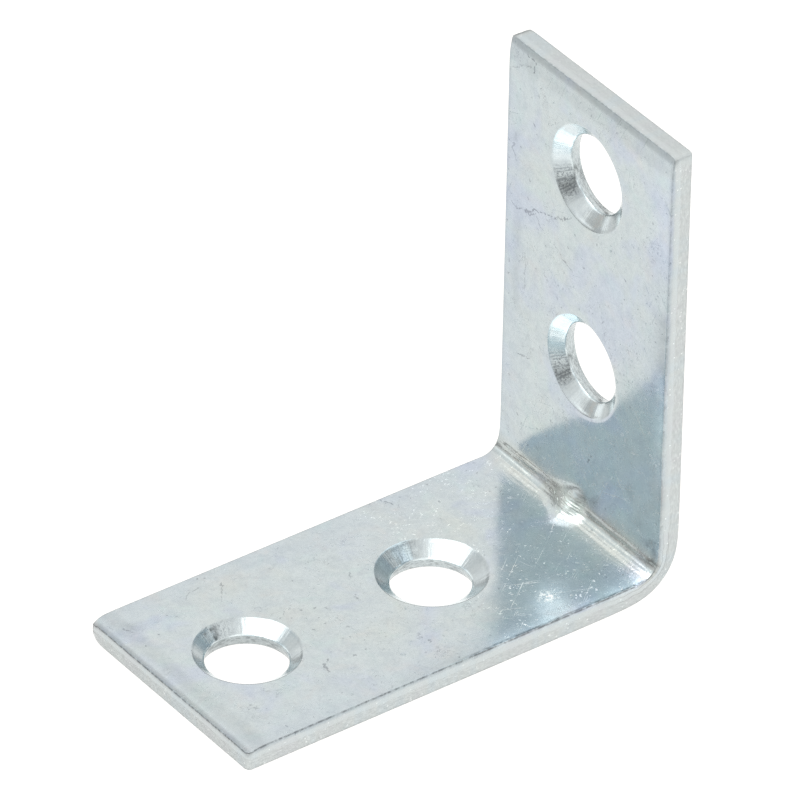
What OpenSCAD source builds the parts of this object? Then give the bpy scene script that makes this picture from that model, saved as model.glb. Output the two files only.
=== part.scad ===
// Angle bracket for screws: one strip of zinc-plated steel, punched with two
// countersunk screw holes in each leg, folded once to a right angle and
// stiffened by a dart pressed across the inside of the fold.
//
// The lying leg runs along X with its free end at -X, the upright leg stands
// at the +X end, the strip's width runs along Y, and Z is up. The origin is
// under the middle of the lying leg.

/* [Legs] */
// Length of the lying leg, from its free end to the outer face of the upright leg
leg_x = 30; // [26:0.5:80]
// Height of the upright leg, from the underside of the lying leg to its free end
leg_z = 30; // [26:0.5:80]
// Width of the strip
strip_w = 15.1; // [12:0.1:25]
// Thickness of the sheet
sheet_t = 1.4; // [1.1:0.05:1.6]

/* [Fold] */
// Radius inside the fold
fold_in_r = 1.5; // [0.7:0.1:1.6]
// Radius outside the fold. It is larger than the inside radius plus the sheet, because the metal is drawn thin there
fold_out_r = 3.5; // [2.6:0.1:3.7]

/* [Screw holes] */
// Diameter of each screw hole
hole_d = 5; // [4:0.1:5.6]
// Diameter of the countersink at the inner face
sink_d = 6.5; // [6:0.1:8]
// Depth of the countersink
sink_depth = 0.55; // [0.2:0.05:0.7]
// Distance from a leg's free end to the centre of its outer hole
hole_end = 5.35; // [5:0.05:6.5]
// Distance between the two holes of a leg
hole_pitch = 12.9; // [9:0.1:13.2]

/* [Stiffening dart] */
// How far the dart's ridge reaches along each leg from the inside corner
dart_reach = 1.7; // [1.4:0.1:2]
// Radius of the dart's rounded ridge
dart_r = 1.65; // [1.6:0.05:2.2]
// How far the dart sits off the middle of the strip's width, towards +Y
dart_off = 0.7; // [-1.5:0.1:1.5]
// Depth of the matching dent outside the fold
dent_depth = 0.6; // [0.3:0.05:0.7]

/* [Edges] */
// Rounding of the inner face's edges, which the punch pulled down
edge_r = 0.3; // [0.15:0.05:0.4]
// Rounding of the free ends' corners on the +Y side
corner_far_r = 0.4; // [0.3:0.1:1]
// Rounding of the free ends' corners on the -Y side
corner_near_r = 0.3; // [0.2:0.1:1]

/* [Finish] */
// Colour of the plating
plating = "#c9d1d6"; // ["#c9d1d6":Bright zinc, "#c8b273":Yellow zinc, "#3a3c3f":Black]

/* [Hidden] */
$fn = 96;
e = 1;                       // how far a cutting shape stands proud of what it cuts
x0 = -leg_x / 2;             // free end of the lying leg
x1 = leg_x / 2;              // outer face of the upright leg
xi = x1 - sheet_t;           // inner face of the upright leg
zi = sheet_t;                // inner face of the lying leg
half_w = strip_w / 2;
fx = xi - fold_in_r;         // axis of the inside radius
fz = zi + fold_in_r;
// distances of a leg's hole centres from the outer corner
holes_x = [for (i = [0, 1]) leg_x - hole_end - i * hole_pitch];
holes_z = [for (i = [0, 1]) leg_z - hole_end - i * hole_pitch];
// the dart's ridge and the fold's outer surface, both measured across the
// fold at 45 degrees from the sharp inside corner
ridge = dart_reach / sqrt(2);
skin = sheet_t * sqrt(2) - fold_out_r * (sqrt(2) - 1);
// how deep the dart's body goes into the legs that it stands on
root = min(0.15, skin * 0.45);
dent_r = dart_r - 0.4;

// What a rounding of radius r takes off a corner that points to +X and +Y.
// The rounding is centred on the origin, and the shape stands proud of the
// corner by p and q.
module rounding(r, p, q) {
    difference() {
        square([r + p, r + q]);
        circle(r);
    }
}

// The strip seen from the side: both legs, the fold, and the free ends with
// the inner face's edge pulled down.
module side_profile() {
    difference() {
        translate([x0, 0]) square([leg_x, leg_z]);
        // the space inside the angle
        difference() {
            translate([x0 - e, zi]) square([leg_x - sheet_t + e, leg_z]);
            translate([fx, fz]) rotate(-90) rounding(fold_in_r, 0, 0);
        }
        // outside of the fold
        translate([x1 - fold_out_r, fold_out_r])
            rotate(-90) rounding(fold_out_r, e, e);
        // free ends
        translate([x0 + edge_r, zi - edge_r]) rotate(90) rounding(edge_r, e, e);
        translate([xi + edge_r, leg_z - edge_r]) rotate(90) rounding(edge_r, e, e);
    }
}

// Rounds the inner face's long edge on the +Y side: along the lying leg, up
// the upright leg, and round the fold between them.
module long_edge_cutter() {
    p = min(e, fold_in_r) / 2;
    y = half_w - edge_r;
    translate([x0 - e, y, zi - edge_r]) rotate([90, 0, 90])
        linear_extrude(fx - x0 + e) rounding(edge_r, e, p);
    translate([xi + edge_r, y, fz]) rotate([0, 0, 90])
        linear_extrude(leg_z - fz + e) rounding(edge_r, e, p);
    translate([fx, y, fz]) rotate([-90, 0, 0]) rotate_extrude(angle = 90)
        translate([fold_in_r + edge_r, 0]) mirror([1, 0]) rounding(edge_r, p, e);
}

// Rounds one corner of a free end, as seen flat on the leg. The corner is at
// the origin, the leg's end faces -X and its side faces +Y.
module end_corner_cutter(r) {
    translate([r, -r, -e]) rotate(90)
        linear_extrude(sheet_t + 2 * e) rounding(r, e, e);
}

// One screw hole along Z with its countersink. The outer face is at Z = 0.
module screw_hole() {
    over = 0.2;
    spread = (sink_d - hole_d) / sink_depth;
    translate([0, 0, -e]) cylinder(h = sheet_t + 2 * e, d = hole_d);
    translate([0, 0, sheet_t - sink_depth])
        cylinder(h = sink_depth + over, d1 = hole_d, d2 = sink_d + spread * over);
}

// A round bar that crosses the fold at 45 degrees, where the dart is. Its top
// passes the sharp inside corner at distance d.
module fold_bar(r, d) {
    translate([xi, dart_off, zi]) rotate([0, -45, 0])
        translate([-10, 0, d - r]) rotate([0, 90, 0]) cylinder(h = 20, r = r);
}

// The dart: the part of a round bar that stands inside the angle.
module dart() {
    intersection() {
        fold_bar(dart_r, ridge);
        translate([xi - 6, -half_w, zi - root]) cube([6 + root, strip_w, 6 + root]);
    }
}

module bracket() {
    color(plating) difference() {
        union() {
            rotate([90, 0, 0])
                linear_extrude(strip_w, center = true) side_profile();
            dart();
        }
        for (d = holes_x) translate([x1 - d, 0, 0]) screw_hole();
        for (d = holes_z) translate([x1, 0, d]) rotate([0, -90, 0]) screw_hole();
        long_edge_cutter();
        mirror([0, 1, 0]) long_edge_cutter();
        translate([x0, half_w, 0]) end_corner_cutter(corner_far_r);
        translate([x0, -half_w, 0]) mirror([0, 1, 0])
            end_corner_cutter(corner_near_r);
        translate([xi, half_w, leg_z]) rotate([0, 90, 0])
            end_corner_cutter(corner_far_r);
        translate([xi, -half_w, leg_z]) rotate([0, 90, 0]) mirror([0, 1, 0])
            end_corner_cutter(corner_near_r);
        // the dent behind the dart
        fold_bar(dent_r, dent_depth - skin);
    }
}

bracket();
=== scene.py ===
import bpy, math
import numpy as np
from mathutils import Matrix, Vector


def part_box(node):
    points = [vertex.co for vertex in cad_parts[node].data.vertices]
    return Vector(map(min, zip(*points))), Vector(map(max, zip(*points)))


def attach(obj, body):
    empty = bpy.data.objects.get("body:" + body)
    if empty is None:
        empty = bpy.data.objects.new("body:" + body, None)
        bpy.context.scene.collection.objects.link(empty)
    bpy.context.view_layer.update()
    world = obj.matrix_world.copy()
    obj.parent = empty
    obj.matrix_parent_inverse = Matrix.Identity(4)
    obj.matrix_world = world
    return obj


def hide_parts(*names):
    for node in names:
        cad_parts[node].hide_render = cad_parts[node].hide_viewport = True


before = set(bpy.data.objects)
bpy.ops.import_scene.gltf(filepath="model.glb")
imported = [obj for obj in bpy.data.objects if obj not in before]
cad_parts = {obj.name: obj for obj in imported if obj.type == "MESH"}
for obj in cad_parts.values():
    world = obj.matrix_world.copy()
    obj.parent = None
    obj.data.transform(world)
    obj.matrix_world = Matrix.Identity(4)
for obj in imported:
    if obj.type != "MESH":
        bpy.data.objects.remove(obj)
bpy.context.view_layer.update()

scene = bpy.context.scene
PI = math.pi

# ---------------------------------------------------------------- sizes (mm)
lo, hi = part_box("bracket")
X0, X1 = lo.x * 1000, hi.x * 1000          # free end of the lying leg, back face
ZT = hi.z * 1000                           # top of the upright leg
HW = (hi.y - lo.y) * 500                   # half the strip's width
LX, LZ = X1 - X0, ZT - lo.z * 1000
T = 1.4                                    # sheet
END, PITCH = 5.35, 12.9                    # holes from the free end, and apart
D = 5.2                                    # where a leg starts to curve, from the heel
IN = 0.35                                  # inset of the flat faces' outermost loop
R_RING = 4.05                              # radius where a hole's own loops end
DART_Y = 0.35                              # the dart's crest; its far flank is the longer one

# ------------------------------------------------- the fold, as two profiles
def turned(parts, half, n=1600):
    """A curve that turns by 90 degrees, symmetric about its middle. parts are
    (weight, half length) of smooth turns. Starts at the origin heading (-1, 0)
    and ends heading (0, 1)."""
    u = np.linspace(-half, half, n)
    phi = np.zeros(n)
    for w, h in parts:
        q = np.clip(u / h, -1, 1)
        phi += w * (0.5 + q * (15 - 10 * q ** 2 + 3 * q ** 4) / 16)
    phi *= PI / 2
    du = u[1] - u[0]
    m = (phi[1:] + phi[:-1]) / 2
    a = np.concatenate([[0], np.cumsum(-np.cos(m) * du)])
    b = np.concatenate([[0], np.cumsum(np.sin(m) * du)])
    return a, b, 2 * half


def fold_curve(parts, half, level):
    """The same curve run in and out straight, as (length along, a, b), where a
    is the distance from the back face and b the height above the underside."""
    a, b, length = turned(parts, half)
    run = D - level - b[-1]
    assert run >= 0, (run, level)
    a, b = a + D - run, b + level
    s = np.linspace(0, length, len(a)) + run
    s = np.concatenate([[0], s, [s[-1] + run]])
    a = np.concatenate([[D], a, [level]])
    b = np.concatenate([[level], b, [D]])
    return s, a, b


inner = fold_curve([(0.79, 1.5), (0.21, 3.2)], 3.2, T)
outer = fold_curve([(0.85, 3.58), (0.15, 4.3)], 4.3, 0.0)
LB = inner[0][-1]                          # the fold's length along the strip
SA = LX - D
S = SA + LB + LZ - D                       # the strip's length, laid flat
SC = SA + LB / 2                           # the fold's middle


def at(curve, tau):
    s, a, b = curve
    q = tau * s[-1]
    return np.interp(q, s, a), np.interp(q, s, b)


def smax(p, q, k):
    h = np.clip(0.5 + 0.5 * (p - q) / k, 0, 1)
    return p * h + q * (1 - h) + k * h * (1 - h)


def bell(x, w):
    return np.exp(-(x / w) ** 2)


def noise(x, y, seed):
    """Smooth value noise in -1..1, one cell per unit."""
    r = np.random.default_rng(seed).uniform(-1, 1, (128, 128))
    x, y = np.asarray(x, float) + 32.5, np.asarray(y, float) + 32.5
    i, j = np.floor(x).astype(int), np.floor(y).astype(int)
    f, g = x - i, y - j
    f, g = f * f * f * (f * (f * 6 - 15) + 10), g * g * g * (g * (g * 6 - 15) + 10)
    p = lambda a, b: r[(i + a) % 128, (j + b) % 128]
    return (p(0, 0) * (1 - f) + p(1, 0) * f) * (1 - g) + (p(0, 1) * (1 - f) + p(1, 1) * f) * g


def ripples(s, y):
    """Fine beads that the forming edge left along the inside of the fold."""
    k = s - SC
    out = 0
    for i, (pos, w, h) in enumerate([(0.42, 0.13, 0.046), (-0.11, 0.075, 0.020), (-0.46, 0.09, 0.015), (-0.80, 0.12, 0.006)]):
        p = pos + 0.045 * noise(y / 1.7, y * 0, 11 + i) + 0.012 * noise(y / 0.35, y * 0, 15 + i)
        out = out + h * (1 + 0.45 * noise(y / 0.8, y * 0, 21 + i)) * bell(k - p, w)
    out = out + 0.0045 * noise(k / 0.085, y / 0.75, 27) * bell(k + 0.1, 0.75)
    dy = HW - np.abs(y)
    ends = np.clip((dy - 0.35) / 0.7, 0, 1)
    gap = 1 - bell(y - DART_Y, 1.55) ** 2
    return out * ends * gap


def folded(s, y, n):
    """Flat strip coordinates (along, across, from the outer face) to the
    bracket's own frame. All in mm."""
    s, y, n = (np.asarray(v, float) for v in (s, y, n))
    f = n / T
    near = np.abs(s - SC) < 4.5
    f = f + np.where(near & (n > 0.3), ripples(s, y) / T * np.clip(n / T, 0, 1) ** 2, 0)
    # lying leg and upright leg, as distance from the back face and height
    a = np.where(s < SA, LX - s, n)
    b = np.where(s < SA, n, LZ - (S - s))
    mid = (s >= SA) & (s <= SA + LB)
    tau = np.clip((s - SA) / LB, 0, 1)
    ia, ib = at(inner, tau)
    oa, ob = at(outer, tau)
    a = np.where(mid, oa + (ia - oa) * f, a)
    b = np.where(mid, ob + (ib - ob) * f, b)
    # the drawn metal is a little narrower on the outside of the fold
    neck = np.exp(-((s - SC) / 1.9) ** 2) * np.clip(1 - f, 0, 1)
    y2 = y * (1 - 0.026 * neck)
    # the dart and the dent behind it, measured across the fold
    u, v = a - T, b - T
    # a rib with a rounded crest, whose crest line runs from (foot, 0) to (0, head)
    foot, head = 1.38, 1.9
    norm = math.hypot(1 / foot, 1 / head)
    cx, cy = 1 / foot / norm, 1 / head / norm
    out, along = cx * u + cy * v, cx * v - cy * u
    h0 = 1 / norm
    # its crest leans a little: the head sits further over than the foot
    yd = y - DART_Y + 0.16 * (1 + np.clip(along, -1.2, 1.2)) * near
    rib = h0 + 0.28 - np.sqrt(0.28 ** 2 + (np.where(yd > 0, 0.34, 0.70) * yd) ** 2)
    # fine lines that the forming edge left on its near flank
    rib = rib + 0.020 * noise((v - u) / 0.12, yd / 0.8, 28) * np.clip(0.2 - yd, 0, 0.6) / 0.6
    rib = rib + 0.012 * noise((v - u) / 0.09, yd / 0.16, 29) * np.clip(0.4 - yd, 0, 0.6) / 0.6
    rib = np.where(np.abs(yd) < 3.4, rib, -3.0)
    low = np.clip((0.15 - along) / 0.9, 0, 1)
    blend = 0.22 + 0.62 * low * np.clip(0.9 - yd, 0, 1) + 0.22 * np.clip(yd, 0, 1) * (1 - low)
    out_i = np.where(near, smax(out, rib, blend), out)
    yo = y - DART_Y
    dent = 0.07 - 1.25 + np.sqrt(np.clip(1.25 ** 2 - np.clip(np.abs(yo), 0, 1.249) ** 2, 0, None))
    dent = np.where(np.abs(yo) < 1.25, dent, -3.0)
    out_o = np.where(near & (np.abs(yo) < 1.8), smax(out, dent, 0.35), out)
    g = np.clip(f, 0, 1)
    out = np.where(g > 0.5, out_i, out_o)
    u, v = cx * out - cy * along, cy * out + cx * along
    a, b = u + T, v + T
    return np.stack([X1 - a, y2, b], -1)


# ------------------------------------------------------------- edges, holes
def lip_drop(d, w, h):
    """The rounded lip itself, a quarter of an ellipse w wide and h deep."""
    q = 1 - np.clip(d / w, 0, 1)
    return h * (1 - np.sqrt(np.clip(1 - q * q, 0, 1)))


def side_drop(d):
    """How far the punch pulled the inner face down, d from a long side."""
    return 0.025 * np.exp(-d / 0.8) + lip_drop(d, 0.07, 0.055)


def far_drop(d):
    """The other long side is crisper."""
    return 0.006 * np.exp(-d / 0.8) + lip_drop(d, 0.05, 0.030)


def end_drop(d, soft):
    """The same from a sheared end, where the pull reaches further in; the
    upright's end is rolled over more softly."""
    return ((0.12 - 0.02 * soft) * np.exp(-(d / (0.42 + 0.16 * soft)) ** 1.6) + 0.05 * np.exp(-(d / 1.0) ** 2)
            + lip_drop(d, 0.18 + 0.10 * soft, 0.09 - 0.02 * soft))


def top_level(s, y):
    """Height of the inner face over the outer face."""
    ds = np.minimum(s, S - s)
    dy = HW - np.abs(y)
    k = s - SC
    pinch = 0.10 * np.exp(-dy / 0.55) * bell(k + 0.45, 0.9)
    wave = 0.010 * noise(s / 4.3, y / 3.7, 3) + 0.004 * noise(s / 1.6, y / 1.5, 4)
    wave = wave * np.clip(dy / 1.0, 0, 1) * np.clip(ds / 1.0, 0, 1)
    # the two far corners are drawn down further than the rest
    corner = np.hypot(ds, HW - y)
    pulled = np.where(s < S / 2, 0.16, 0.03) * np.exp(-(corner / np.where(s < S / 2, 0.42, 0.62)) ** 2)
    return T - np.where(y < 0, side_drop(dy), far_drop(dy)) - end_drop(ds, s > S / 2) - pinch - pulled + wave


def graded(lo, hi, n, density):
    """n + 1 lines from lo to hi, closer together where density is higher."""
    q = np.linspace(lo, hi, 4001)
    w = np.array([density(v) for v in q])
    c = np.concatenate([[0], np.cumsum((w[1:] + w[:-1]) / 2)])
    out = np.interp(np.linspace(0, c[-1], n + 1), c, q)
    out[0], out[-1] = lo, hi
    return out


y_lines = graded(-HW + IN, HW - IN, 86,
                 lambda y: 1 + 1.2 * math.exp(-(HW - abs(y)) / 0.5) + 1.4 * math.exp(-((y - DART_Y) / 1.7) ** 2))
cuts = [IN, END + PITCH / 2, END + PITCH * 1.5, S - END - PITCH * 1.5, S - END - PITCH / 2, S - IN]
centres = [END, END + PITCH, None, S - END - PITCH, S - END]
NS = 58
s_lines = []
for i in range(5):
    a0, a1 = cuts[i], cuts[i + 1]
    if centres[i] is None:
        s_lines.append(graded(a0, a1, 134, lambda q: 1 + 9 * math.exp(-((q - SC) / 0.75) ** 2) + 2 * math.exp(-((q - SC) / 1.9) ** 2)))
    else:
        s_lines.append(graded(a0, a1, NS, lambda q: 1 + 1.6 * math.exp(-min(q - 0, S - q) / 0.5)))

# ------------------------------------------------------------ mesh collector
verts, faces, zones = [], [], []           # flat coordinates, quads, face zones
TOP, BOTTOM, WALL, HOLE = 0, 1, 2, 3
extras = []                                # (cos, sin, depth, hole mask) for hole walls
count = 0


def add(grid, zone, flip=False, wrap=False, extra=None):
    """grid is (rows, columns, 3) in flat coordinates."""
    global count
    r, c = grid.shape[:2]
    base = count
    verts.append(grid.reshape(-1, 3))
    count += r * c
    extras.append(np.zeros((r * c, 5)) if extra is None else extra.reshape(-1, 5))
    i, j = np.meshgrid(np.arange(r - 1), np.arange(c if wrap else c - 1), indexing="ij")
    j2 = (j + 1) % c
    q = np.stack([base + i * c + j, base + i * c + j2, base + (i + 1) * c + j2, base + (i + 1) * c + j], -1).reshape(-1, 4)
    if flip:
        q = q[:, ::-1]
    faces.append(q)
    zones.append(np.full(len(q), zone))


def rect_loop(sl, yl):
    """The outline of a block, anticlockwise seen from the inner face."""
    pts = [(s, yl[0]) for s in sl[:-1]] + [(sl[-1], y) for y in yl[:-1]]
    pts += [(s, yl[-1]) for s in sl[:0:-1]] + [(sl[0], y) for y in yl[:0:-1]]
    return np.array(pts)


def ring_steps(n, inner_grade, outer_grade):
    q = np.linspace(0, 1, n + 1)
    w = 1 / (1 + inner_grade * np.exp(-q / 0.12) + outer_grade * np.exp(-(1 - q) / 0.10))
    m = (w[1:] + w[:-1]) / 2
    c = np.concatenate([[0], np.cumsum(m)])
    return c / c[-1]


hole_loops = []
for i in range(5):
    sl = s_lines[i]
    if centres[i] is None:
        g = np.stack(np.meshgrid(sl, y_lines, indexing="ij"), -1)
        add(np.dstack([g, top_level(g[..., 0], g[..., 1])]), TOP, flip=True)
        add(np.dstack([g, np.zeros(g.shape[:2])]), BOTTOM)
        continue
    box_ = rect_loop(sl, y_lines)
    c = np.array([centres[i], 0.0])
    v = box_ - c
    ang = np.arctan2(v[:, 1], v[:, 0])
    unit = np.stack([np.cos(ang), np.sin(ang)], 1)
    circle = c + unit * R_RING
    hole_loops.append((c, ang, unit))
    for zone, n, ig, og in ((TOP, 14, 1.0, 2.5), (BOTTOM, 6, 1.0, 1.0)):
        f = ring_steps(n, ig, og)[:, None, None]
        g = circle[None] + (box_ - circle)[None] * f
        lev = top_level(g[..., 0], g[..., 1]) if zone == TOP else np.zeros(g.shape[:2])
        add(np.dstack([g, lev]), zone, flip=(zone == TOP), wrap=True)

# holes: (radius, depth below the inner face), down the countersink and the
# bore to the outer face; the countersinks differ a little from hole to hole
# rim radius, its offset along and across, the bore's extra radius and offset
RIMS = [(3.14, 0.14, 0.165, -0.01, 0.0, 0.01), (3.27, 0.12, 0.18, -0.07, -0.05, 0.04),
        (3.185, -0.24, 0.11, 0.0, -0.07, -0.03), (3.265, -0.27, 0.15, -0.01, -0.09, -0.02)]


def hole_profile(rim):
    cone = [(rim + (2.46 - rim) * q, 0.062 + 0.46 * q) for q in (0.08, 0.25, 0.5, 0.75, 0.92)]
    return ([(R_RING, 0), (3.85, 0), (3.66, 0.001), (rim + 0.30, 0.002), (rim + 0.19, 0.005), (rim + 0.11, 0.010),
             (rim + 0.05, 0.021), (rim, 0.046)] + cone +
            [(2.455, 0.530), (2.425, 0.552), (2.412, 0.60), (2.41, 0.68),
             (2.412, 0.78), (2.425, 0.86), (2.455, 0.95), (2.51, 1.08), (2.58, 1.23), (2.625, 1.34), (2.65, 1.385),
             (2.69, T), (2.85, T), (3.3, T), (R_RING, T)])


for (c, ang, unit), (rim, shift, slip, bore, b_shift, b_slip) in zip(hole_loops, RIMS):
    rows, ex = [], []
    profile = hole_profile(rim)
    for k, (r, dep) in enumerate(profile):
        # punched metal is never quite round
        rr = r + (0.012 * noise(2.2 * unit[:, 0] + c[0], 2.2 * unit[:, 1], 31) if 5 < k < len(profile) - 4 else 0)
        fade = np.clip((R_RING - r) / 0.7, 0, 1)
        off = np.clip((r - 2.46) / (rim - 2.46), 0, 1) if dep < 0.53 else 0
        rr = rr + bore * fade * (1 - off)
        # the tool's cone keeps its slope, so where it is wider it also goes deeper
        wide = (rim - 2.45 - bore) + (unit @ np.array([shift - b_shift, slip - b_slip])) - 0.72
        sink = 0.42 * wide * (np.clip((dep - 0.062) / 0.46, 0, 1) if dep < 0.53 else np.clip((1.08 - dep) / 0.55, 0, 1))
        middle = np.array([shift * off + b_shift * (1 - off), slip * off + b_slip * (1 - off)]) * fade
        p = c + middle + unit * (np.reshape(rr, (-1, 1)) if np.ndim(rr) else rr)
        drop = T - top_level(p[:, 0], p[:, 1])
        n = T - dep - sink - drop * np.clip(1 - dep / 0.4, 0, 1)
        rows.append(np.column_stack([p, n]))
        m = 1.0 if 7 < k < len(profile) - 4 else (0.5 if k == 7 else 0.0)
        lipped = 0.15 if k in (7, 8) else 0.0
        ex.append(np.column_stack([unit, np.full(len(p), dep), np.full(len(p), m), np.full(len(p), lipped)]))
    rows[0][:, 2] = top_level(rows[0][:, 0], rows[0][:, 1])
    add(np.array(rows), HOLE, wrap=True, extra=np.array(ex))

# the strip's outline: from the inner face's outermost loop, over the pulled
# down edge, down the sheared and torn side, to the outer face
sl_all = np.concatenate([s_lines[0]] + [s[1:] for s in s_lines[1:]])
loop_in = rect_loop(sl_all, y_lines)


def outline(p):
    """The point of the rounded outline that belongs to a point of the loop."""
    s, y = p
    ds, dy = (s if s < S / 2 else S - s), (HW - y if y > 0 else HW + y)
    rc = (0.28 if s < S / 2 else 0.19) if y < 0 else 0.14
    c = max(rc, IN) + 0.45
    if ds >= c - 1e-9 and dy <= IN + 1e-9:
        q = (ds, 0.0)
    elif dy >= c - 1e-9 and ds <= IN + 1e-9:
        q = (0.0, dy)
    else:
        u = max(ds, dy)
        t_ = (u - IN) / (c - IN)
        length = rc * PI / 4 + (c - rc)
        m = t_ * length
        if m < rc * PI / 4:
            al = PI / 4 - m / rc
            q = (rc - rc * math.cos(al), rc - rc * math.sin(al))
        else:
            q = (0.0, rc + m - rc * PI / 4)
        if ds > dy:
            q = (q[1], q[0])
    return (q[0] if s < S / 2 else S - q[0], HW - q[1] if y > 0 else -HW + q[1])


loop_out = np.array([outline(p) for p in loop_in])
edge = [0.35, 0.26, 0.19, 0.13, 0.09, 0.065, 0.045, 0.028, 0.014, 0.004]
rough_edge = [0, 0, 0, 0, 0, 0.15, 0.55, 0.9, 1, 1, 0.8, 0.2, 0.0]
# (inset, share of the way down) of the wall: burnished, then torn, then the foot
wall = [(0.0, 0.02), (0.0, 0.07), (0.0, 0.22), (0.0, 0.33), (0.006, 0.38), (0.009, 0.47), (0.012, 0.60),
        (0.014, 0.75), (0.014, 0.88), (0.016, 0.96), (0.024, 0.99), (0.042, 1.0), (0.16, 1.0), (0.35, 1.0)]
rows = []
nose = np.where(loop_out[:, 0] < S / 2, 0.12, 0.03) * np.exp(-(np.hypot(np.minimum(loop_out[:, 0], S - loop_out[:, 0]), HW - loop_out[:, 1]) / 0.55) ** 2)
for d in edge:
    p = loop_out + (loop_in - loop_out) * (d / IN)
    rows.append(np.column_stack([p, top_level(p[:, 0], p[:, 1])]))
lip = rows[-1][:, 2]
run = np.concatenate([[0], np.cumsum(np.hypot(*np.diff(loop_out, axis=0).T))])
for d, w in wall:
    torn = np.clip((w - 0.33) / 0.2, 0, 1) * (w < 0.97)
    dd = d + torn * (0.012 * noise(run / 0.9, w * 3 + run * 0, 41) + 0.006 * noise(run / 0.3, w * 6 + run * 0, 42))
    # the two far corners have a rounded nose
    dd = dd + nose * (np.abs(w - 0.35) / 0.65) ** 2.5 * (1 - d / IN)
    dd = np.clip(dd, 0, None)
    p = loop_out + (loop_in - loop_out) * (dd / IN)[:, None] if np.ndim(dd) else loop_out + (loop_in - loop_out) * (dd / IN)
    w2 = w + (0.05 * noise(run / 1.3, run * 0, 43) if 0.2 < w < 0.45 else 0)
    rows.append(np.column_stack([p, lip * (1 - w2) if w < 1 else np.zeros(len(p))]))
rows[0][:, 2] = top_level(loop_in[:, 0], loop_in[:, 1])
ex = np.zeros((len(rows), len(loop_in), 5))
for k, v in enumerate(rough_edge):
    ex[k, :, 4] = v
ex[-5:, :, 4] = np.array([0.2, 0.6, 0.8, 0.3, 0.0])[:, None]
add(np.array(rows), WALL, wrap=True, flip=True, extra=ex)

# --------------------------------------------------------- join, fold, build
flat = np.concatenate(verts)
quads = np.concatenate(faces)
zone = np.concatenate(zones)
extra = np.concatenate(extras)
key = np.round(flat, 4)
_, first, inverse = np.unique(key, axis=0, return_index=True, return_inverse=True)
inverse = inverse.reshape(-1)
merged = np.zeros((len(first), 5))
np.maximum.at(merged[:, 3], inverse, extra[:, 3])
np.maximum.at(merged[:, 4], inverse, extra[:, 4])
merged[:, :3] = extra[first][:, :3]
flat, extra = flat[first], merged
quads = inverse[quads]
xyz = folded(flat[:, 0], flat[:, 1], flat[:, 2])
xyz[:, 0] = np.clip(xyz[:, 0], X0, X1)
xyz[:, 2] = np.clip(xyz[:, 2], 0, ZT)

mesh = bpy.data.meshes.new("bracket_strip")
mesh.from_pydata((xyz / 1000).tolist(), [], quads.tolist())
mesh.update()
mesh.shade_smooth()
strip = bpy.data.objects.new("bracket_strip", mesh)
scene.collection.objects.link(strip)


def store(name, kind, values):
    a = mesh.attributes.new(name, kind, "POINT")
    a.data.foreach_set("vector" if kind == "FLOAT_VECTOR" else "value", np.asarray(values, np.float32).ravel())


store("flat", "FLOAT_VECTOR", np.column_stack([flat[:, 0] - SC, flat[:, 1], flat[:, 2]]))
store("ring", "FLOAT_VECTOR", extra[:, :3])
store("hole", "FLOAT", extra[:, 3])
store("edge", "FLOAT", extra[:, 4])
wall_mask = np.zeros(len(flat))
np.maximum.at(wall_mask, quads[zone == WALL].ravel(), 1.0)
store("side", "FLOAT", wall_mask * (flat[:, 2] < T - 0.2))


def soft(v, e0, e1):
    """Smoothly from 0 at e0 to 1 at e1."""
    t = np.clip((v - e0) / (e1 - e0), 0, 1)
    return t * t * (3 - 2 * t)


# broad soft shades over the faces: darker ends and borders, painted shade where the ends roll over, and smudges
along, across, up = flat[:, 0] - SC, flat[:, 1], flat[:, 2]
tip_d = S / 2 - np.abs(along)
upright, lying = soft(along, -1, 1), soft(along, 1, -1)
inner_side, plain = soft(up, 0.85, 1.05), (1 - extra[:, 3]) * (1 - wall_mask * (up < T - 0.2))
band = np.maximum(soft(np.abs(tip_d - 0.26), 0.34, 0.04) * upright, soft(np.abs(tip_d - 0.07), 0.09, 0.02) * 0.65 * lying)
band = np.maximum(band, soft(np.abs(HW - np.abs(across) - 0.10), 0.20, 0.02) * soft(along, 2.5, 4.5) * 0.30)
shade = 1 - 0.33 * 0.66 * band * inner_side
# painted shade on the face about 1 mm in from each end, where it rolls over
shade *= 1 - 0.09 * soft(np.abs(tip_d - 0.98), 0.75, 0.15) * plain * inner_side
shade *= 1 - 0.09 * soft(tip_d, 0.10, 0.04) * wall_mask * soft(up, 1.1, 0.7)
smudge = np.zeros(len(flat))
for (sa, sy), (ra, ry), dep in [((1.35, -6.75), (0.42, 0.85), 0.85), ((1.0, -7.2), (0.8, 0.3), 0.8), ((3.9, -4.9), (0.8, 0.45), 0.45),
                                ((2.3, -5.6), (0.6, 1.0), 0.35), ((27.0, 5.5), (0.8, 0.5), 0.35), ((-27.0, 5.6), (0.7, 0.5), 0.35),
                                ((21.8, 6.9), (0.5, 0.35), 0.4)]:
    ux = along - sa + 0.25 * noise(along / 0.6, across / 0.6, 71)
    uy = across - sy + 0.25 * noise(along / 0.6, across / 0.6, 72)
    smudge = np.maximum(smudge, dep * soft(np.hypot(ux / ra, uy / ry), 1.25, 0.2))
shade *= 1 - 0.40 * smudge * plain * inner_side * (0.55 + 0.45 * soft(noise(along / 0.22, across / 0.22, 73), -0.3, 0.5))
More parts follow.
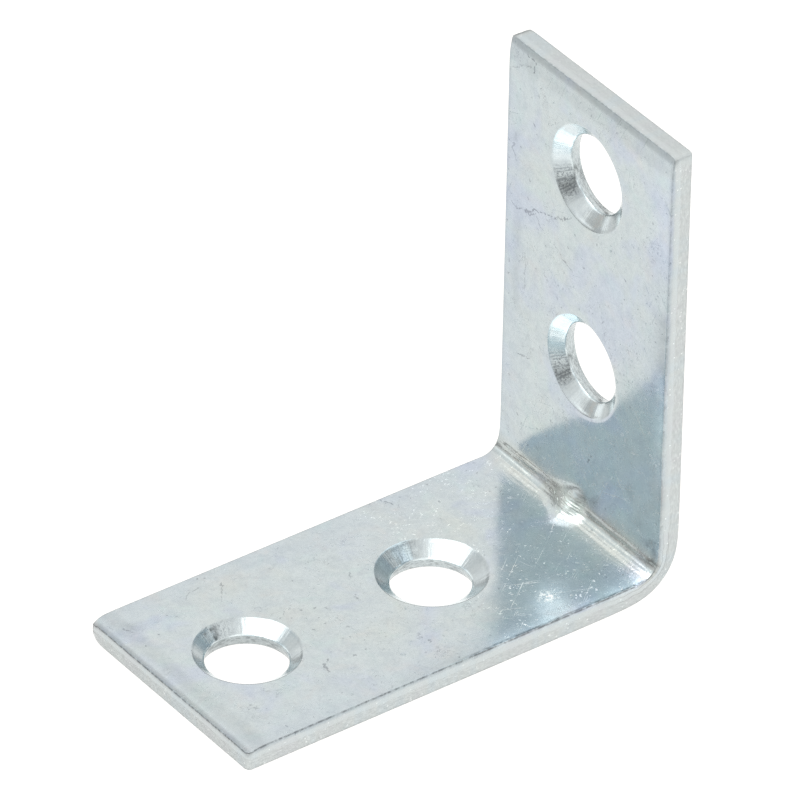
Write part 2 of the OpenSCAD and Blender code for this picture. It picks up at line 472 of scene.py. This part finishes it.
# painted light and shade along the near border, and two painted bright spots
face, near_d = plain * inner_side, HW + across
border_light_and_shade = soft(along, -12.3, -10.3) * lying * (0.34 * bell(near_d, 0.55) + 0.10 * bell(near_d, 1.3))
border_light_and_shade += 0.25 * bell(along + 2.2, 1.0) * bell(near_d, 0.8)
border_light_and_shade += 0.30 * bell(along + 6.7, 1.0) * bell(across + 5.9, 0.75) + 0.27 * bell(along + 5.4, 0.9) * bell(across + 5.1, 0.8)
border_light_and_shade -= 0.10 * soft(along, -12.3, -13.5) * soft(along, -19, -15) * bell(near_d, 0.8)
border_light_and_shade += soft(along, 4.5, 7.5) * soft(along, 13.8, 12.4) * 0.26 * bell(near_d, 0.7)
border_light_and_shade -= 0.20 * soft(along, 13.0, 14.2) * soft(along, 18.3, 16.8) * bell(near_d, 0.95)
border_light_and_shade += 0.07 * soft(along, 20.5, 22) * bell(near_d, 2.0)
border_light_and_shade -= 0.09 * bell(across - 6.35, 0.35) * soft(along, 9.5, 11) * soft(along, 17.5, 16)
border_light_and_shade *= 0.35 + 0.65 * soft(near_d, 0.04, 0.26)
shade *= 1 + border_light_and_shade * face * (1 + 0.25 * noise(along / 0.45, across / 0.45, 74))
# the dart: painted light on its head's far side and at the foot of its near flank, painted shade with grain on its near
# flank
dart_paint_noise = noise(along / 0.09, across / 0.22, 75)
shade *= 1 + 0.42 * bell(along - 0.45, 0.55) * bell(across - 0.78, 0.55) * inner_side
shade *= 1 - (0.36 + 0.15 * dart_paint_noise) * bell(along - 1.0, 0.42) * bell(across + 0.45, 0.42) * inner_side
shade *= 1 + (0.40 + 0.12 * dart_paint_noise) * bell(along - 0.12, 0.30) * bell(across + 0.15, 0.60) * inner_side
# painted light and painted shade in lines along the crease
crease_paint_lane = inner_side * (1 - 0.9 * bell(across - DART_Y, 1.3))
way = along + 0.02 * noise(across / 0.6, across * 0, 80)
shade *= 1 - 0.24 * bell(way - 0.49, 0.07) * crease_paint_lane * soft(across, 4.4, 2.8)
shade *= 1 - 0.21 * bell(way - 0.11, 0.07) * crease_paint_lane
shade *= 1 - 0.11 * bell(way + 0.20, 0.08) * crease_paint_lane
shade *= 1 + 0.20 * bell(way + 0.02, 0.06) * crease_paint_lane * soft(across, 3.4, 4.6)
# dark grains at the near end of the crease
shade *= 1 - 0.55 * bell(along - 0.42, 0.30) * bell(near_d - 0.55, 0.55) * inner_side * soft(noise(along / 0.16, across / 0.16, 76), -0.45, 0.25)
grit = soft(noise(along / 0.13, across / 0.10, 81) + 0.6 * noise(along / 0.06, across / 0.07, 82), -0.75, 0.35)
shade *= 1 - 0.62 * grit * bell(near_d - 0.10, 0.085) * soft(along, -15.0, -11.0) * soft(along, 0.0, -0.8) * soft(up, 1.22, 1.34)
# the lying leg's free end has a broader grey line
shade *= 1 - 0.22 * soft(np.abs(tip_d - 0.14), 0.20, 0.03) * lying * inner_side
# the cones and bores
depth_, hole_m, turned_ = extra[:, 2], extra[:, 3], np.degrees(np.arctan2(extra[:, 1], extra[:, 0]))
# painted dark reflection, broken into blotches, on the cones at set angles about the hole
blot = soft(noise(turned_ / 5.0, depth_ / 0.10, 77), 0.02, 0.30) * soft(depth_, 0.54, 0.50) * hole_m
shade *= 1 - np.where(along < -15, 0.75 * bell(turned_ - 101, 9), 0.28 * bell(turned_ - 84, 17)) * blot * (along < 0)
# a painted glint along the ring where the cone meets the bore
shade *= 1 + 0.45 * hole_m * soft(np.abs(depth_ - 0.535), 0.05, 0.01) * soft(noise(turned_ / 14, depth_ * 0, 78), -0.2, 0.4)
blot = soft(noise(turned_ / 7.0, depth_ / 0.12, 79), 0.20, 0.50) * soft(depth_, 0.56, 0.62) * hole_m
shade *= 1 - 0.30 * blot * lying
# painted shade in the bore of the hole nearest the lying leg's free end
shade *= 1 - 0.17 * soft(depth_, 0.56, 0.62) * hole_m * (along < -15)
store("shade", "FLOAT", shade)
# the countersinks: painted light and shade, brighter on one side than on the other,
# brightness by the angle about the hole, 0.5 towards +along
around = np.arctan2(extra[:, 1], extra[:, 0]) / (2 * PI) + 0.5
on_lying = [(0.0, 1.40), (0.31, 1.45), (0.37, 1.26), (0.45, 0.84), (0.52, 0.74), (0.57, 1.0), (0.70, 1.04), (0.78, 0.94),
            (0.88, 0.86), (0.94, 1.10), (1.0, 1.40)]
on_upright = [(0.0, 1.50), (0.03, 1.75), (0.065, 1.70), (0.105, 0.86), (0.145, 0.72), (0.185, 1.45), (0.24, 0.98), (0.50, 1.0),
              (0.56, 1.34), (0.67, 1.34), (0.73, 1.62), (0.79, 1.08), (0.85, 0.82), (0.93, 1.02), (1.0, 1.50)]
store("painted_cone_light", "FLOAT", np.where(along < 0, np.interp(around, *zip(*on_lying)), np.interp(around, *zip(*on_upright))))

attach(strip, "root")
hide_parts("bracket")

# ------------------------------------------------------------------ material
# bright zinc plate, described in flat strip coordinates (mm), so that its
# marks keep their size and cross the fold without a seam
mat = bpy.data.materials.new("zinc_plate")
mat.use_nodes = True
nt = mat.node_tree
bsdf = nt.nodes["Principled BSDF"]


def node(kind, **props):
    n = nt.nodes.new("ShaderNode" + kind)
    for k, v in props.items():
        setattr(n, k, v)
    return n


def plug(socket, value):
    if isinstance(value, bpy.types.NodeSocket):
        nt.links.new(value, socket)
    elif isinstance(value, (tuple, list)) and len(value) == 3 and socket.type == "RGBA":
        socket.default_value = (*value, 1)
    else:
        socket.default_value = value


def fn(op, a, b=0.0, c=0.0, clamp=False):
    n = node("Math", operation=op, use_clamp=clamp)
    for i, v in enumerate((a, b, c)):
        plug(n.inputs[i], v)
    return n.outputs[0]


def add_(a, b): return fn("ADD", a, b)
def sub_(a, b): return fn("SUBTRACT", a, b)
def mul(a, b): return fn("MULTIPLY", a, b)
def inv(a): return fn("SUBTRACT", 1.0, a)


def step(v, e0, e1):
    """Smoothly from 0 at e0 to 1 at e1."""
    n = node("MapRange", interpolation_type="SMOOTHSTEP")
    plug(n.inputs[0], v)
    if e0 <= e1:
        n.inputs[1].default_value, n.inputs[2].default_value = e0, e1
        n.inputs[3].default_value, n.inputs[4].default_value = 0.0, 1.0
    else:
        n.inputs[1].default_value, n.inputs[2].default_value = e1, e0
        n.inputs[3].default_value, n.inputs[4].default_value = 1.0, 0.0
    return n.outputs[0]


def vec(op, a, b=(0, 0, 0), scale=None):
    n = node("VectorMath", operation=op)
    plug(n.inputs[0], a)
    if op != "SCALE":
        plug(n.inputs[1], b)
    if scale is not None:
        plug(n.inputs["Scale"], scale)
    return n.outputs["Value"] if op in ("DOT_PRODUCT", "LENGTH", "DISTANCE") else n.outputs["Vector"]


def place(v, offset=(0, 0, 0), turn=0.0, size=(1, 1, 1)):
    n = node("Mapping")
    plug(n.inputs["Vector"], v)
    n.inputs["Location"].default_value = offset
    n.inputs["Rotation"].default_value = (0, 0, math.radians(turn))
    n.inputs["Scale"].default_value = size
    return n.outputs[0]


def cloud(v, scale, detail=2.0, rough=0.5, warp=0.0, colour=False):
    n = node("TexNoise")
    plug(n.inputs["Vector"], v)
    n.inputs["Scale"].default_value = scale
    n.inputs["Detail"].default_value = detail
    n.inputs["Roughness"].default_value = rough
    n.inputs["Distortion"].default_value = warp
    return n.outputs["Color"] if colour else n.outputs[0]


def cells(v, scale, what="Distance", feature="F1"):
    n = node("TexVoronoi", feature=feature)
    plug(n.inputs["Vector"], v)
    n.inputs["Scale"].default_value = scale
    return n.outputs[what]


def ramp_(value, stops):
    n = node("ValToRGB")
    plug(n.inputs[0], value)
    el = n.color_ramp.elements
    for e_, (p_, c_) in zip((el[0], el[1]), (stops[0], stops[-1])):
        e_.position, e_.color = p_, (*c_, 1)
    for p_, c_ in stops[1:-1]:
        e_ = el.new(p_)
        e_.color = (*c_, 1)
    return n.outputs["Color"]


def tinted(a, b, fac=1.0):
    n = node("Mix", data_type="RGBA", blend_type="MULTIPLY")
    plug(n.inputs["Factor"], fac)
    plug(n.inputs[6], a)
    plug(n.inputs[7], b)
    return n.outputs[2]


def blend_to(a, b, fac):
    n = node("Mix", data_type="RGBA")
    plug(n.inputs["Factor"], fac)
    plug(n.inputs[6], a)
    plug(n.inputs[7], b)
    return n.outputs[2]


def attr(name, out):
    return node("Attribute", attribute_name=name).outputs[out]


# crooked hairlines: points (along from the fold's middle, across), width, depth
MARKS = [
    ([(27.8, 6.0), (27.7, 5.5), (27.6, 5.1), (27.0, 5.3)], 0.05, 1),
    ([(26.2, 7.2), (27.0, 6.2), (27.3, 5.5)], 0.04, 0.6),
    ([(21.3, 7.3), (21.3, 6.8), (20.8, 7.0), (20.3, 6.6)], 0.045, 0.75),
    ([(18.0, 7.4), (17.8, 7.1)], 0.05, 0.8),
    ([(17.2, 7.0), (17.1, 6.6), (17.6, 4.8), (16.9, 3.9)], 0.035, 0.9),
    ([(17.4, 5.7), (18.1, 4.2), (18.6, 2.4), (19.3, 1.5)], 0.045, 1),
    ([(16.6, 3.0), (16.2, 2.3), (15.7, 1.3)], 0.035, 0.7),
    ([(14.5, 5.7), (13.9, 5.6), (11.4, 5.7)], 0.04, 0.5),
    ([(7.2, 6.0), (7.6, 4.9)], 0.04, 0.8),
    ([(14.6, 3.9), (13.6, 3.4)], 0.035, 0.5),
    ([(3.55, -0.62), (3.85, -0.75), (4.15, -1.0)], 0.075, 1.35),
    ([(-8.2, 7.5), (-8.1, 7.1), (-7.9, 6.6)], 0.05, 0.9),
    ([(-20.4, 6.1), (-20.7, 5.5), (-21.5, 4.4)], 0.035, 0.8),
    ([(-23.0, 6.0), (-22.1, 6.5), (-21.7, 6.5)], 0.04, 0.6),
    ([(-19.6, -3.0), (-20.1, -3.5), (-20.3, -4.1)], 0.055, 0.8),
    ([(-19.6, 1.5), (-19.0, 1.9)], 0.05, 0.7),
    ([(-13.7, 2.9), (-14.2, 2.1)], 0.05, 0.6),
    ([(-14.9, 0.8), (-14.8, 0.2)], 0.06, 0.7),
    ([(-14.0, -4.2), (-13.9, -4.5)], 0.06, 0.8),
    ([(-27.4, 5.9), (-27.2, 5.3)], 0.06, 0.8),
    ([(-25.7, -4.3), (-25.5, -4.6)], 0.05, 0.5),
]

P = attr("flat", "Vector")                 # (along from the fold, across, height)
sxyz = node("SeparateXYZ")
nt.links.new(P, sxyz.inputs[0])
ALONG, ACROSS, UP = sxyz.outputs
RING = attr("ring", "Vector")
rxyz = node("SeparateXYZ")
nt.links.new(RING, rxyz.inputs[0])
HOLE_, EDGE_, SIDE_ = attr("hole", "Fac"), attr("edge", "Fac"), attr("side", "Fac")
WOBBLE = vec("SCALE", vec("SUBTRACT", cloud(P, 2.2, 3.0, 0.6, colour=True), (0.5, 0.5, 0.5)), scale=0.55)
PW = vec("ADD", P, WOBBLE)
FACE = mul(inv(HOLE_), inv(SIDE_))
TOPSIDE = step(UP, 0.95, 1.1)
UPRIGHT = step(ALONG, -1.0, 1.0)
LYING = inv(UPRIGHT)
tip = fn("SUBTRACT", S / 2, fn("ABSOLUTE", ALONG))

# large soft patches of the plating's tint
hue1 = ramp_(cloud(place(P, (3.1, 7.7, 0)), 0.26, 3.0, 0.55, 0.4),
             [(0.34, (0.955, 0.955, 1.035)), (0.47, (1, 1, 1)), (0.56, (1.0, 1.0, 0.995)), (0.72, (1.025, 1.005, 0.965))])
colour = tinted((0.528, 0.589, 0.606), hue1, FACE)
hue2 = ramp_(cloud(place(P, (13.3, -5.2, 2.0)), 0.50, 3.0, 0.6, 0.6),
             [(0.30, (1.02, 0.985, 0.975)), (0.44, (1, 1, 1)), (0.55, (1, 1, 1)), (0.70, (0.975, 1.012, 1.0))])
colour = tinted(colour, hue2, FACE)
# the long borders are a little bluer and greyer than the middle
border = mul(step(fn("ABSOLUTE", add_(ACROSS, mul(sub_(cloud(place(P, (1, 4, 1)), 0.45, 2.0), 0.5), 3.0))), 4.6, 6.8), 0.9)
colour = tinted(colour, (0.965, 0.972, 1.0), mul(border, FACE))
# mottle and grain
mottle = ramp_(cloud(place(P, (1.0, 2.0, 3.0)), 1.3, 5.0, 0.66, 0.5),
               [(0.30, (0.915, 0.92, 0.935)), (0.5, (1.0, 1.0, 1.0)), (0.70, (1.055, 1.05, 1.04))])
colour = tinted(colour, mottle, inv(mul(SIDE_, 0.7)))
grain = ramp_(cloud(place(P, (5.0, 1.0, 9.0)), 6.5, 3.0, 0.75),
              [(0.28, (0.925, 0.93, 0.935)), (0.5, (1, 1, 1)), (0.72, (1.06, 1.055, 1.055))])

colour = tinted(colour, grain, inv(mul(SIDE_, 0.5)))

# the fold, where the plate was stretched: grainier
FOLD_ = step(fn("ABSOLUTE", add_(ALONG, 0.2)), 2.0, 0.6)
FOLD_ = mul(FOLD_, TOPSIDE)

lean = add_(ACROSS, mul(ALONG, 0.17))
flank = mul(mul(step(lean, 0.05, -0.25), step(lean, -1.05, -0.70)), mul(step(ALONG, -0.45, 0.15), step(ALONG, 1.3, 0.9)))
flank_n = cloud(place(P, (4.0, 1.0, 0.0), size=(15.0, 4.0, 3.0)), 1.0, 3.0, 0.7)
flank_painted_streaks = ramp_(flank_n, [(0.36, (0.46, 0.46, 0.46)), (0.50, (0.80, 0.79, 0.78)), (0.62, (1.25, 1.23, 1.20))])
flank = mul(flank, TOPSIDE)
colour = tinted(colour, (1.035, 1.0, 0.945), mul(step(fn("ABSOLUTE", ALONG), 1.25, 0.45), TOPSIDE))
# painted dark and bright reflection streaks on the dart's near flank
colour = tinted(colour, flank_painted_streaks, mul(flank, 0.85))

# sheared sides: a burnished band under the lip, then torn metal
torn_z = step(add_(UP, mul(sub_(cloud(place(P, (0, 0, 7.0), size=(1, 1, 0.2)), 1.1, 2.0), 0.5), 0.28)), 0.80, 0.70)
torn_n = cloud(place(P, size=(2.8, 2.8, 7.5)), 1.0, 4.0, 0.72)
torn_c = ramp_(torn_n, [(0.30, (0.83, 0.83, 0.825)), (0.5, (0.955, 0.94, 0.93)), (0.66, (1.09, 1.08, 1.07))])
calm = inv(mul(step(tip, 1.0, 0.4), mul(step(ALONG, -1.0, 1.0), 0.65)))
SIDE_TORN = mul(mul(SIDE_, torn_z), calm)
# lines of flow where the side was bent
flow_n = mul(sub_(cloud(place(P, (1.0, 0, 5.0), size=(1, 1, 0.3)), 1.5, 3.0, 0.6), 0.5), 0.45)
flow = None
for level in (1.02, 0.66):
    m_ = step(fn("ABSOLUTE", sub_(add_(UP, flow_n), level)), 0.035, 0.008)
    flow = m_ if flow is None else fn("MAXIMUM", flow, m_)
flow = mul(mul(flow, SIDE_), step(fn("ABSOLUTE", ALONG), 4.2, 1.2))
colour = tinted(colour, torn_c, SIDE_TORN)
colour = tinted(colour, (0.60, 0.60, 0.61), mul(flow, 0.75))
glint = mul(mul(SIDE_, step(cells(place(P, (1.2, 2.1, 0.4)), 3.4), 0.24, 0.12)), step(cloud(place(P, (3.1, 0.8, 2.0)), 2.2, 2.0), 0.50, 0.58))
side_tint = ramp_(cloud(place(P, (3, 3, 3), size=(1, 1, 0.3)), 0.8, 3.0), [(0.35, (1.10, 1.055, 1.05)), (0.5, (1.11, 1.08, 1.06)), (0.65, (1.07, 1.07, 1.08))])
colour = tinted(colour, side_tint, SIDE_)
colour = tinted(colour, (1.35, 1.33, 1.32), mul(glint, calm))

# countersinks and bores: streaks down the cone, coarse specks on its far side, darkened there as a painted dark
# reflection
ring_s = cloud(vec("MULTIPLY", vec("ADD", RING, vec("SCALE", P, scale=0.013)), (9.0, 9.0, 0.8)), 1.0, 3.0, 0.6)
ring_f = cloud(vec("MULTIPLY", RING, (26.0, 26.0, 1.6)), 1.0, 2.0, 0.5)
far_lie = step(vec("DOT_PRODUCT", RING, (-0.10, 0.995, 0.0)), 0.84, 0.985)
far_up = step(vec("DOT_PRODUCT", RING, (-0.57, 0.82, 0.0)), 0.90, 0.985)
far_side = add_(mul(mul(far_lie, LYING), 0.62), mul(far_up, UPRIGHT))
CONE = mul(HOLE_, step(rxyz.outputs[2], 0.54, 0.50))
BORE = mul(HOLE_, step(rxyz.outputs[2], 0.50, 0.56))
far_specks_and_dark_reflection = mul(mul(CONE, far_side), fn("MAXIMUM", step(cloud(place(P, (2.2, 0, 1.0)), 7.5, 4.0, 0.75), 0.50, 0.58),
                                   mul(step(ring_f, 0.52, 0.62), 0.7)))
cone_c = ramp_(ring_s, [(0.3, (0.93, 0.93, 0.935)), (0.5, (1, 1, 1)), (0.7, (1.04, 1.035, 1.03))])
# painted light and shade around each cone, by the angle about the hole
colour = tinted(colour, attr("painted_cone_light", "Color"), CONE)
colour = tinted(colour, cone_c, CONE)
colour = tinted(colour, (0.42, 0.43, 0.45), mul(far_specks_and_dark_reflection, 0.9))
bore_n = cloud(vec("MULTIPLY", RING, (11.0, 11.0, 9.0)), 1.0, 3.0, 0.6)
bore_c = ramp_(bore_n, [(0.3, (0.70, 0.70, 0.70)), (0.44, (0.94, 0.94, 0.935)), (0.58, (1.06, 1.055, 1.05)), (0.72, (1.22, 1.21, 1.20))])
colour = tinted(colour, bore_c, BORE)

edge_n = step(cloud(place(P, (8.0, 8.0, 8.0)), 3.6, 3.0, 0.6), 0.34, 0.60)
edge_dark = mul(EDGE_, add_(0.22, mul(edge_n, 0.78)))
edge_dark = mul(edge_dark, add_(0.42, mul(step(ALONG, 1.5, -1.5), 0.58)))

colour = tinted(colour, (0.26, 0.26, 0.27), mul(edge_dark, 0.84))
# per-vertex shade: painted light and shade, darker ends and borders, and smudges
colour = tinted(colour, attr("shade", "Color"))

# thin dark marks: specks, and hair-fine crooked lines where the plating crazed
spot = cells(place(PW, (0.3, 0.8, 0.1)), 2.3)
pick = cells(place(PW, (0.3, 0.8, 0.1)), 2.3, "Color")
pick1 = node("SeparateColor")
nt.links.new(pick, pick1.inputs[0])
crowd = step(cloud(place(P, (9.0, 4.0, 1.0)), 0.33, 2.0), 0.40, 0.62)
specks = mul(mul(step(spot, 0.23, 0.10), step(pick1.outputs[0], 0.76, 0.80)), add_(0.30, mul(crowd, 0.70)))
dust = mul(step(cells(place(PW, (6.6, 2.8, 1.1)), 4.6), 0.20, 0.10), step(cloud(place(P, (3.7, 1.8, 6.0)), 1.9, 3.0, 0.6), 0.52, 0.60))
colour = tinted(colour, (0.70, 0.70, 0.72), mul(mul(dust, FACE), 0.45))
contour = fn("ABSOLUTE", sub_(cloud(place(P, (2.0, 6.0, 4.0)), 0.55, 5.0, 0.62), 0.5))
where = step(cloud(place(P, (7.0, 3.0, 8.0)), 0.45, 2.0), 0.56, 0.64)
hair = mul(step(contour, 0.0075, 0.0025), where)


def line_mark(points, width):
    """A crooked hairline through points given in flat strip coordinates."""
    out = None
    for a, b in zip(points[:-1], points[1:]):
        a, b = np.array((*a, 0.0)), np.array((*b, 0.0))
        d = b - a
        rel = vec("MULTIPLY", vec("SUBTRACT", PL, tuple(a)), (1, 1, 0))
        t = fn("MULTIPLY", vec("DOT_PRODUCT", rel, tuple(d)), 1 / float(d @ d), clamp=True)
        dist = vec("LENGTH", vec("SUBTRACT", rel, vec("SCALE", tuple(d), scale=t)))
        m_ = step(dist, width * 1.5, width * 0.4)
        out = m_ if out is None else fn("MAXIMUM", out, m_)
    return out


PL = vec("ADD", P, vec("SCALE", vec("SUBTRACT", cloud(P, 1.6, 4.0, 0.65, colour=True), (0.5, 0.5, 0.5)), scale=0.9))
marks = None
for pts, wdt, dark in MARKS:
    m_ = mul(line_mark(pts, wdt), dark)
    marks = m_ if marks is None else fn("MAXIMUM", marks, m_)
broken = step(cloud(place(P, (4.0, 4.0, 2.0)), 4.5, 2.0), 0.36, 0.52)
lines = mul(fn("MAXIMUM", mul(hair, 0.6), mul(marks, TOPSIDE)), broken)
colour = tinted(colour, (0.34, 0.34, 0.37), mul(mul(fn("MAXIMUM", lines, mul(specks, 0.75)), FACE), 0.72))

# handling scratches, fine and straight, in a few directions
scratch = None
for turn, seed, lim in ((24, 3.0, 0.675), (-38, 8.0, 0.68), (71, 5.0, 0.69)):
    v_ = place(place(P, (seed, seed * 2.3, 0), turn), size=(0.28, 11.0, 0.5))
    m_ = step(cloud(v_, 1.0, 2.0, 0.5), lim, lim + 0.05)
    scratch = m_ if scratch is None else fn("MAXIMUM", scratch, m_)
worn = step(cloud(place(P, (6.0, 1.5, 3.0)), 0.5, 3.0), 0.42, 0.60)
scratch = mul(scratch, worn)
fleck = mul(mul(step(cells(place(PL, (5.3, 1.8, 2.1), 30.0, (3.0, 4.6, 3.0)), 1.0), 0.30, 0.14),
                step(cloud(place(P, (1.7, 8.8, 5.0)), 3.0, 2.0), 0.44, 0.54)), add_(0.25, mul(worn, 0.75)))
# one scuffed spot on the lying leg, near the fold
scuff = mul(step(vec("LENGTH", vec("MULTIPLY", vec("SUBTRACT", PL, (-6.0, -5.5, 0.0)), (1, 1, 0))), 0.85, 0.1), TOPSIDE)
scuff = mul(scuff, step(cloud(P, 5.5, 3.0, 0.7), 0.40, 0.60))
fleck = fn("MAXIMUM", fleck, scuff)
scuffed = mul(mul(step(ALONG, -12.0, -8.5), step(ALONG, 9.5, 6.0)), add_(0.35, mul(LYING, 0.65)))
colour = tinted(colour, (1.62, 1.54, 1.50), mul(mul(fn("MAXIMUM", fleck, mul(scratch, 0.45)), FACE), scuffed))
worn_rough = mul(mul(fn("MAXIMUM", scratch, fleck), FACE), 0.55)

plug(bsdf.inputs["Base Color"], colour)
bsdf.inputs["Metallic"].default_value = 1.0

rough = add_(0.17, mul(sub_(cloud(place(P, (4.4, 0, 2.0)), 1.4, 4.0, 0.6), 0.5), 0.16))
rough = add_(rough, worn_rough)
rough = add_(rough, mul(FOLD_, 0.06))
rough = add_(rough, mul(flank, 0.15))
rough = add_(rough, mul(SIDE_TORN, 0.16))
rough = add_(rough, mul(fn("MAXIMUM", CONE, BORE), 0.02))
rough = add_(rough, mul(EDGE_, 0.15))
rough = add_(rough, mul(mul(step(tip, 0.75, 0.25), step(ALONG, -1.0, 1.0)), 0.24))
plug(bsdf.inputs["Roughness"], fn("MAXIMUM", rough, 0.06))

# relief, in mm
height = mul(cloud(place(P, (2.0, 2.0, 2.0)), 0.9, 2.0, 0.5), 0.0040)
height = add_(height, mul(cloud(place(P, (6.0, 0.0, 2.0)), 5.0, 2.0, 0.6), add_(0.0012, mul(FOLD_, 0.007))))
height = add_(height, mul(mul(FOLD_, cloud(place(P, (1.0, 5.0, 0.0), size=(11.0, 3.2, 1.0)), 1.0, 2.0, 0.6)), 0.008))
height = add_(height, mul(mul(SIDE_TORN, torn_n), 0.040))
height = add_(height, mul(mul(CONE, ring_f), 0.004))
height = add_(height, mul(mul(CONE, ring_s), 0.011))
height = add_(height, mul(mul(BORE, mul(bore_n, step(rxyz.outputs[2], 0.75, 1.0))), 0.030))
bump = node("Bump")
bump.inputs["Strength"].default_value = 1.0
bump.inputs["Distance"].default_value = 0.001
nt.links.new(height, bump.inputs["Height"])
nt.links.new(bump.outputs[0], bsdf.inputs["Normal"])
mesh.materials.append(mat)

# --------------------------------------------------------------------- stage
fm = bpy.data.meshes.new("floor")
r = 3.0
fm.from_pydata([(-r, -r, 0), (r, -r, 0), (r, r, 0), (-r, r, 0)], [], [(0, 1, 2, 3)])
floor = bpy.data.objects.new("floor", fm)
floor.location.z = -0.00002
scene.collection.objects.link(floor)
fmat = bpy.data.materials.new("floor")
fmat.use_nodes = True
fb = fmat.node_tree.nodes["Principled BSDF"]
fb.inputs["Base Color"].default_value = (0.10, 0.10, 0.10, 1)
fb.inputs["Roughness"].default_value = 0.9
fb.inputs["Specular IOR Level"].default_value = 0.0
fb.inputs["Emission Color"].default_value = (1.0, 0.985, 0.965, 1)

# the table glows like a light table, and its glow falls off into painted shade beyond its middle
ft = fmat.node_tree
fpos = ft.nodes.new("ShaderNodeTexCoord")
flen = ft.nodes.new("ShaderNodeVectorMath")
flen.operation = "LENGTH"
fmap = ft.nodes.new("ShaderNodeMapRange")
fmap.interpolation_type = "SMOOTHSTEP"
for i, v in ((1, 0.15), (2, 0.29), (3, 1.03), (4, 0.36)):
    fmap.inputs[i].default_value = v
ft.links.new(fpos.outputs["Object"], flen.inputs[0])
ft.links.new(flen.outputs["Value"], fmap.inputs[0])
ft.links.new(fmap.outputs[0], fb.inputs["Emission Strength"])
fgeo = ft.nodes.new("ShaderNodeNewGeometry")
fclear = ft.nodes.new("ShaderNodeBsdfTransparent")
fmix = ft.nodes.new("ShaderNodeMixShader")
ft.links.new(fgeo.outputs["Backfacing"], fmix.inputs[0])
ft.links.new(fb.outputs[0], fmix.inputs[1])
ft.links.new(fclear.outputs[0], fmix.inputs[2])
ft.links.new(fmix.outputs[0], ft.nodes["Material Output"].inputs["Surface"])
fm.materials.append(fmat)

# a white tent: light walls, a darker gap above the table, a soft box overhead
world = bpy.data.worlds.new("tent")
scene.world = world
world.use_nodes = True
wt = world.node_tree
bg = wt.nodes["Background"]
tc = wt.nodes.new("ShaderNodeTexCoord")


def wmath(op, *args):
    n = wt.nodes.new("ShaderNodeMath")
    n.operation = op
    for i, a in enumerate(args):
        if isinstance(a, (int, float)):
            n.inputs[i].default_value = a
        else:
            wt.links.new(a, n.inputs[i])
    return n.outputs[0]


def wramp(value, stops):
    n = wt.nodes.new("ShaderNodeValToRGB")
    wt.links.new(value, n.inputs[0])
    n.color_ramp.interpolation = "EASE"
    el = n.color_ramp.elements
    for e_, (p_, v_) in zip((el[0], el[1]), (stops[0], stops[-1])):
        e_.position, e_.color = p_, (v_, v_, v_, 1)
    for p_, v_ in stops[1:-1]:
        e_ = el.new(p_)
        e_.color = (v_, v_, v_, 1)
    return n.outputs["Color"]


sep = wt.nodes.new("ShaderNodeSeparateXYZ")
wt.links.new(tc.outputs["Generated"], sep.inputs[0])
lift = wmath("MULTIPLY_ADD", sep.outputs["Y"], 3.0, -0.9)
lift.node.use_clamp = True
walls = wramp(wmath("MULTIPLY_ADD", wmath("MULTIPLY_ADD", lift, -0.13, sep.outputs["Z"]), 0.5, 0.5),
              [(0.0, 0.15), (0.495, 0.15), (0.52, 0.17), (0.555, 0.41), (0.59, 0.46), (1.0, 0.46)])
dot = wt.nodes.new("ShaderNodeVectorMath")
dot.operation = "DOT_PRODUCT"
wt.links.new(tc.outputs["Generated"], dot.inputs[0])
dot.inputs[1].default_value = (-0.36, 0.13, 0.924)
box_light = wramp(dot.outputs["Value"], [(0.0, 0.0), (0.885, 0.0), (0.93, 0.72), (1.0, 0.72)])
over = wt.nodes.new("ShaderNodeVectorMath")
over.operation = "DOT_PRODUCT"
wt.links.new(tc.outputs["Generated"], over.inputs[0])
over.inputs[1].default_value = (0.06, 0.12, 0.991)
gap = wramp(over.outputs["Value"], [(0.0, 1.0), (0.955, 1.0), (0.985, 0.0), (1.0, 0.0)])
box_light = wmath("MULTIPLY", box_light, gap)
total = wmath("ADD", walls, box_light)
cool = wt.nodes.new("ShaderNodeMix")
cool.data_type = "RGBA"
left = wmath("MULTIPLY_ADD", sep.outputs["X"], -3.7, -0.86)
left.node.use_clamp = True
high = wmath("MULTIPLY_ADD", sep.outputs["Z"], 5.0, -1.5)
high.node.use_clamp = True
unlit = wmath("MULTIPLY_ADD", box_light, -2.0, 1.0)
unlit.node.use_clamp = True
wt.links.new(wmath("MULTIPLY", wmath("MULTIPLY", left, high), unlit), cool.inputs["Factor"])
cool.inputs[6].default_value = (1.022, 1.0, 0.983, 1)
cool.inputs[7].default_value = (0.905, 0.965, 1.0, 1)
tint = wt.nodes.new("ShaderNodeVectorMath")
tint.operation = "SCALE"
wt.links.new(cool.outputs[2], tint.inputs[0])
wt.links.new(total, tint.inputs["Scale"])
wt.links.new(tint.outputs[0], bg.inputs["Color"])
bg.inputs["Strength"].default_value = 2.5

# -------------------------------------------------------------------- camera
cam_data = bpy.data.cameras.new("camera")
cam = bpy.data.objects.new("camera", cam_data)
scene.collection.objects.link(cam)
cam_data.sensor_width = 36.0
cam_data.lens = 550.3
right = (0.80661, -0.59087, 0.01595)
down = (-0.33337, -0.47705, -0.81319)
fwd = (0.48810, 0.65061, -0.58178)
m = Matrix.Identity(4)
for i in range(3):
    m[i][0], m[i][1], m[i][2] = right[i], -down[i], -fwd[i]
m.translation = (-0.333141, -0.445046, 0.412504)
cam.matrix_world = m
cam_data.clip_start, cam_data.clip_end = 0.01, 10
scene.camera = cam

scene.view_settings.view_transform = "Standard"
scene.view_settings.look = "None"
